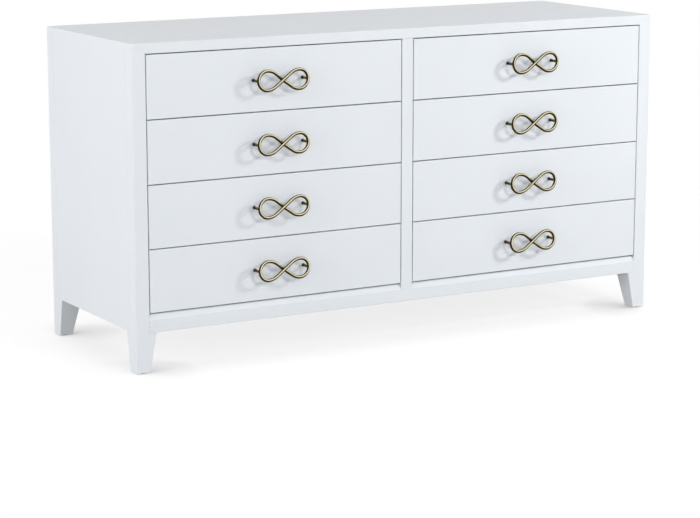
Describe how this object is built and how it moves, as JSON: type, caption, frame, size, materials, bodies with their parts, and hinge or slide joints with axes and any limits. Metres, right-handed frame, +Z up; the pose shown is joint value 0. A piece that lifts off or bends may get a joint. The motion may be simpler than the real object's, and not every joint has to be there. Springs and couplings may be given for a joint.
{
  "type": "double chest of drawers",
  "caption": "Wide white lacquered chest of drawers on tapered legs: two banks of inset drawers on telescopic slides, each with a figure-eight brass pull.",
  "frame": {"origin": "on the floor, under the middle of the whole piece with its pulls", "axes": "+X to the right seen from the front, +Y towards the back, +Z up; drawers open towards -Y"},
  "size_m": [1.524, 0.54, 0.8],
  "materials": {
    "white_lacquer": "satin lacquer",
    "drawer_wood": "clear-finished maple",
    "carcase_wood": "plain sanded birch",
    "brass": "satin antique brass",
    "zinc_steel": "zinc plated",
    "glide_nylon": "moulded"
  },
  "bodies": {
    "case": {"top_panel": "white_lacquer", "left_side_panel": "white_lacquer", "right_side_panel": "white_lacquer", "front_left_leg": "white_lacquer", "front_right_leg": "white_lacquer", "rear_left_leg": "white_lacquer", "rear_right_leg": "white_lacquer", "front_apron": "white_lacquer", "rear_apron": "white_lacquer", "bottom_panel": "white_lacquer", "centre_stile": "white_lacquer", "back_panel": "white_lacquer", "centre_partition": "carcase_wood", "corner_blocks": "carcase_wood", "slide_cleats": "carcase_wood", "frame_dowels": "carcase_wood", "foot_glides": "glide_nylon", "slide_outer_members": "zinc_steel", "slide_screws": "zinc_steel", "back_panel_screws": "zinc_steel"},
    "drawer_left_1": {"drawer_left_1_front": "white_lacquer", "drawer_left_1_box": "drawer_wood", "drawer_left_1_pull": "brass", "drawer_left_1_hardware": "zinc_steel"},
    "slide_left_1": {"drawer_left_1_slide_middle": "zinc_steel"},
    "drawer_left_2": {"drawer_left_2_front": "white_lacquer", "drawer_left_2_box": "drawer_wood", "drawer_left_2_pull": "brass", "drawer_left_2_hardware": "zinc_steel"},
    "slide_left_2": {"drawer_left_2_slide_middle": "zinc_steel"},
    "drawer_left_3": {"drawer_left_3_front": "white_lacquer", "drawer_left_3_box": "drawer_wood", "drawer_left_3_pull": "brass", "drawer_left_3_hardware": "zinc_steel"},
    "slide_left_3": {"drawer_left_3_slide_middle": "zinc_steel"},
    "drawer_left_4": {"drawer_left_4_front": "white_lacquer", "drawer_left_4_box": "drawer_wood", "drawer_left_4_pull": "brass", "drawer_left_4_hardware": "zinc_steel"},
    "slide_left_4": {"drawer_left_4_slide_middle": "zinc_steel"},
    "drawer_right_1": {"drawer_right_1_front": "white_lacquer", "drawer_right_1_box": "drawer_wood", "drawer_right_1_pull": "brass", "drawer_right_1_hardware": "zinc_steel"},
    "slide_right_1": {"drawer_right_1_slide_middle": "zinc_steel"},
    "drawer_right_2": {"drawer_right_2_front": "white_lacquer", "drawer_right_2_box": "drawer_wood", "drawer_right_2_pull": "brass", "drawer_right_2_hardware": "zinc_steel"},
    "slide_right_2": {"drawer_right_2_slide_middle": "zinc_steel"},
    "drawer_right_3": {"drawer_right_3_front": "white_lacquer", "drawer_right_3_box": "drawer_wood", "drawer_right_3_pull": "brass", "drawer_right_3_hardware": "zinc_steel"},
    "slide_right_3": {"drawer_right_3_slide_middle": "zinc_steel"},
    "drawer_right_4": {"drawer_right_4_front": "white_lacquer", "drawer_right_4_box": "drawer_wood", "drawer_right_4_pull": "brass", "drawer_right_4_hardware": "zinc_steel"},
    "slide_right_4": {"drawer_right_4_slide_middle": "zinc_steel"}
  },
  "joints": [
    {"name": "drawer_left_1_slide", "type": "slide", "parent": "case", "child": "drawer_left_1", "axis": [0, -1, 0], "range_m": [0, 0.42]},
    {"name": "slide_left_1_slide", "type": "slide", "parent": "case", "child": "slide_left_1", "axis": [0, -1, 0], "range_m": [0, 0.21]},
    {"name": "drawer_left_2_slide", "type": "slide", "parent": "case", "child": "drawer_left_2", "axis": [0, -1, 0], "range_m": [0, 0.42]},
    {"name": "slide_left_2_slide", "type": "slide", "parent": "case", "child": "slide_left_2", "axis": [0, -1, 0], "range_m": [0, 0.21]},
    {"name": "drawer_left_3_slide", "type": "slide", "parent": "case", "child": "drawer_left_3", "axis": [0, -1, 0], "range_m": [0, 0.42]},
    {"name": "slide_left_3_slide", "type": "slide", "parent": "case", "child": "slide_left_3", "axis": [0, -1, 0], "range_m": [0, 0.21]},
    {"name": "drawer_left_4_slide", "type": "slide", "parent": "case", "child": "drawer_left_4", "axis": [0, -1, 0], "range_m": [0, 0.42]},
    {"name": "slide_left_4_slide", "type": "slide", "parent": "case", "child": "slide_left_4", "axis": [0, -1, 0], "range_m": [0, 0.21]},
    {"name": "drawer_right_1_slide", "type": "slide", "parent": "case", "child": "drawer_right_1", "axis": [0, -1, 0], "range_m": [0, 0.42]},
    {"name": "slide_right_1_slide", "type": "slide", "parent": "case", "child": "slide_right_1", "axis": [0, -1, 0], "range_m": [0, 0.21]},
    {"name": "drawer_right_2_slide", "type": "slide", "parent": "case", "child": "drawer_right_2", "axis": [0, -1, 0], "range_m": [0, 0.42]},
    {"name": "slide_right_2_slide", "type": "slide", "parent": "case", "child": "slide_right_2", "axis": [0, -1, 0], "range_m": [0, 0.21]},
    {"name": "drawer_right_3_slide", "type": "slide", "parent": "case", "child": "drawer_right_3", "axis": [0, -1, 0], "range_m": [0, 0.42]},
    {"name": "slide_right_3_slide", "type": "slide", "parent": "case", "child": "slide_right_3", "axis": [0, -1, 0], "range_m": [0, 0.21]},
    {"name": "drawer_right_4_slide", "type": "slide", "parent": "case", "child": "drawer_right_4", "axis": [0, -1, 0], "range_m": [0, 0.42]},
    {"name": "slide_right_4_slide", "type": "slide", "parent": "case", "child": "slide_right_4", "axis": [0, -1, 0], "range_m": [0, 0.21]}
  ],
  "couplings": [
    {"joint": "slide_left_1_slide", "follows": "drawer_left_1_slide", "ratio": 0.5},
    {"joint": "slide_left_2_slide", "follows": "drawer_left_2_slide", "ratio": 0.5},
    {"joint": "slide_left_3_slide", "follows": "drawer_left_3_slide", "ratio": 0.5},
    {"joint": "slide_left_4_slide", "follows": "drawer_left_4_slide", "ratio": 0.5},
    {"joint": "slide_right_1_slide", "follows": "drawer_right_1_slide", "ratio": 0.5},
    {"joint": "slide_right_2_slide", "follows": "drawer_right_2_slide", "ratio": 0.5},
    {"joint": "slide_right_3_slide", "follows": "drawer_right_3_slide", "ratio": 0.5},
    {"joint": "slide_right_4_slide", "follows": "drawer_right_4_slide", "ratio": 0.5}
  ]
}
